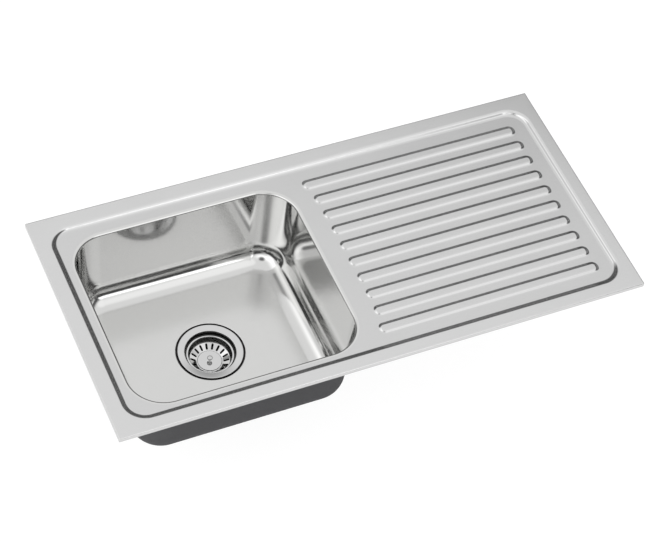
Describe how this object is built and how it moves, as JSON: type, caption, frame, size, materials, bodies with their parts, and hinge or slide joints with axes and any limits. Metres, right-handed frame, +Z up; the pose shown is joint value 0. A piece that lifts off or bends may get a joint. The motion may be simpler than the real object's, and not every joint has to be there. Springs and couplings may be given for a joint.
{
  "type": "kitchen sink with drainboard",
  "caption": "Inset stainless kitchen sink with a deep square bowl, a ribbed drainboard, a basket strainer waste and swivelling clips under the rim.",
  "frame": {"origin": "centre of the rim outline, at the worktop surface that the lip stands on", "axes": "+X along the long edge from the bowl to the drainboard, +Y to the back edge, +Z up"},
  "size_m": [0.94, 0.46, 0.247],
  "materials": {
    "satin_steel": "satin rolled stainless sheet",
    "polished_steel": "drawn stainless, walls bright, floor satin",
    "bright_steel": "polished stainless",
    "zinc": "bright zinc plate",
    "brass": "machined",
    "coat": "sprayed, rough",
    "foam": "closed-cell foam",
    "rubber": "matt",
    "plastic": "moulded"
  },
  "bodies": {
    "sink": {"deck": "satin_steel", "bowl": "polished_steel", "bowl_undercoat": "coat", "rim_seal": "foam", "clip_brackets": "zinc", "clip_studs": "zinc", "waste_flange": "bright_steel", "flange_seal": "rubber", "body_seal": "rubber", "waste_body": "plastic", "waste_screw": "bright_steel", "hub_nut": "brass"},
    "basket": {"basket_cup": "bright_steel", "basket_knob": "bright_steel", "basket_stopper": "rubber", "basket_clip": "bright_steel"},
    "clip_1_washer": {"clip_washer_1": "zinc"},
    "clip_1_jaw": {"clip_jaw_1": "zinc"},
    "clip_1_nut": {"clip_nut_1": "zinc"},
    "clip_2_washer": {"clip_washer_2": "zinc"},
    "clip_2_jaw": {"clip_jaw_2": "zinc"},
    "clip_2_nut": {"clip_nut_2": "zinc"},
    "clip_3_washer": {"clip_washer_3": "zinc"},
    "clip_3_jaw": {"clip_jaw_3": "zinc"},
    "clip_3_nut": {"clip_nut_3": "zinc"},
    "clip_4_washer": {"clip_washer_4": "zinc"},
    "clip_4_jaw": {"clip_jaw_4": "zinc"},
    "clip_4_nut": {"clip_nut_4": "zinc"},
    "clip_5_washer": {"clip_washer_5": "zinc"},
    "clip_5_jaw": {"clip_jaw_5": "zinc"},
    "clip_5_nut": {"clip_nut_5": "zinc"},
    "clip_6_washer": {"clip_washer_6": "zinc"},
    "clip_6_jaw": {"clip_jaw_6": "zinc"},
    "clip_6_nut": {"clip_nut_6": "zinc"},
    "clip_7_washer": {"clip_washer_7": "zinc"},
    "clip_7_jaw": {"clip_jaw_7": "zinc"},
    "clip_7_nut": {"clip_nut_7": "zinc"},
    "clip_8_washer": {"clip_washer_8": "zinc"},
    "clip_8_jaw": {"clip_jaw_8": "zinc"},
    "clip_8_nut": {"clip_nut_8": "zinc"}
  },
  "joints": [
    {"name": "basket_lift", "type": "slide", "parent": "sink", "child": "basket", "axis": [0, 0, 1], "range_m": [0, 0.25]},
    {"name": "clip_1_lift", "type": "slide", "parent": "sink", "child": "clip_1_washer", "axis": [0, 0, 1], "range_m": [0, 0.018]},
    {"name": "clip_1_swivel", "type": "hinge", "parent": "clip_1_washer", "child": "clip_1_jaw", "pos_m": [0.04, -0.191, -0.0408], "axis": [0, 0, 1], "range_deg": [0, 90]},
    {"name": "clip_1_turn", "type": "hinge", "parent": "clip_1_washer", "child": "clip_1_nut", "pos_m": [0.04, -0.191, -0.046], "axis": [0, 0, 1], "range_deg": [0, 6486]},
    {"name": "clip_2_lift", "type": "slide", "parent": "sink", "child": "clip_2_washer", "axis": [0, 0, 1], "range_m": [0, 0.018]},
    {"name": "clip_2_swivel", "type": "hinge", "parent": "clip_2_washer", "child": "clip_2_jaw", "pos_m": [0.385, -0.191, -0.0408], "axis": [0, 0, 1], "range_deg": [0, 90]},
    {"name": "clip_2_turn", "type": "hinge", "parent": "clip_2_washer", "child": "clip_2_nut", "pos_m": [0.385, -0.191, -0.046], "axis": [0, 0, 1], "range_deg": [0, 6486]},
    {"name": "clip_3_lift", "type": "slide", "parent": "sink", "child": "clip_3_washer", "axis": [0, 0, 1], "range_m": [0, 0.018]},
    {"name": "clip_3_swivel", "type": "hinge", "parent": "clip_3_washer", "child": "clip_3_jaw", "pos_m": [-0.33, 0.191, -0.0408], "axis": [0, 0, 1], "range_deg": [0, 90]},
    {"name": "clip_3_turn", "type": "hinge", "parent": "clip_3_washer", "child": "clip_3_nut", "pos_m": [-0.33, 0.191, -0.046], "axis": [0, 0, 1], "range_deg": [0, 6486]},
    {"name": "clip_4_lift", "type": "slide", "parent": "sink", "child": "clip_4_washer", "axis": [0, 0, 1], "range_m": [0, 0.018]},
    {"name": "clip_4_swivel", "type": "hinge", "parent": "clip_4_washer", "child": "clip_4_jaw", "pos_m": [0.04, 0.191, -0.0408], "axis": [0, 0, 1], "range_deg": [0, 90]},
    {"name": "clip_4_turn", "type": "hinge", "parent": "clip_4_washer", "child": "clip_4_nut", "pos_m": [0.04, 0.191, -0.046], "axis": [0, 0, 1], "range_deg": [0, 6486]},
    {"name": "clip_5_lift", "type": "slide", "parent": "sink", "child": "clip_5_washer", "axis": [0, 0, 1], "range_m": [0, 0.018]},
    {"name": "clip_5_swivel", "type": "hinge", "parent": "clip_5_washer", "child": "clip_5_jaw", "pos_m": [0.385, 0.191, -0.0408], "axis": [0, 0, 1], "range_deg": [0, 90]},
    {"name": "clip_5_turn", "type": "hinge", "parent": "clip_5_washer", "child": "clip_5_nut", "pos_m": [0.385, 0.191, -0.046], "axis": [0, 0, 1], "range_deg": [0, 6486]},
    {"name": "clip_6_lift", "type": "slide", "parent": "sink", "child": "clip_6_washer", "axis": [0, 0, 1], "range_m": [0, 0.018]},
    {"name": "clip_6_swivel", "type": "hinge", "parent": "clip_6_washer", "child": "clip_6_jaw", "pos_m": [-0.431, -0.085, -0.0408], "axis": [0, 0, 1], "range_deg": [0, 90]},
    {"name": "clip_6_turn", "type": "hinge", "parent": "clip_6_washer", "child": "clip_6_nut", "pos_m": [-0.431, -0.085, -0.046], "axis": [0, 0, 1], "range_deg": [0, 6486]},
    {"name": "clip_7_lift", "type": "slide", "parent": "sink", "child": "clip_7_washer", "axis": [0, 0, 1], "range_m": [0, 0.018]},
    {"name": "clip_7_swivel", "type": "hinge", "parent": "clip_7_washer", "child": "clip_7_jaw", "pos_m": [-0.431, 0.07, -0.0408], "axis": [0, 0, 1], "range_deg": [0, 90]},
    {"name": "clip_7_turn", "type": "hinge", "parent": "clip_7_washer", "child": "clip_7_nut", "pos_m": [-0.431, 0.07, -0.046], "axis": [0, 0, 1], "range_deg": [0, 6486]},
    {"name": "clip_8_lift", "type": "slide", "parent": "sink", "child": "clip_8_washer", "axis": [0, 0, 1], "range_m": [0, 0.018]},
    {"name": "clip_8_swivel", "type": "hinge", "parent": "clip_8_washer", "child": "clip_8_jaw", "pos_m": [0.431, 0, -0.0408], "axis": [0, 0, 1], "range_deg": [0, 90]},
    {"name": "clip_8_turn", "type": "hinge", "parent": "clip_8_washer", "child": "clip_8_nut", "pos_m": [0.431, 0, -0.046], "axis": [0, 0, 1], "range_deg": [0, 6486]}
  ],
  "couplings": [
    {"joint": "clip_1_turn", "follows": "clip_1_lift", "rad_per_m": 6283.2},
    {"joint": "clip_2_turn", "follows": "clip_2_lift", "rad_per_m": 6283.2},
    {"joint": "clip_3_turn", "follows": "clip_3_lift", "rad_per_m": 6283.2},
    {"joint": "clip_4_turn", "follows": "clip_4_lift", "rad_per_m": 6283.2},
    {"joint": "clip_5_turn", "follows": "clip_5_lift", "rad_per_m": 6283.2},
    {"joint": "clip_6_turn", "follows": "clip_6_lift", "rad_per_m": 6283.2},
    {"joint": "clip_7_turn", "follows": "clip_7_lift", "rad_per_m": 6283.2},
    {"joint": "clip_8_turn", "follows": "clip_8_lift", "rad_per_m": 6283.2}
  ]
}
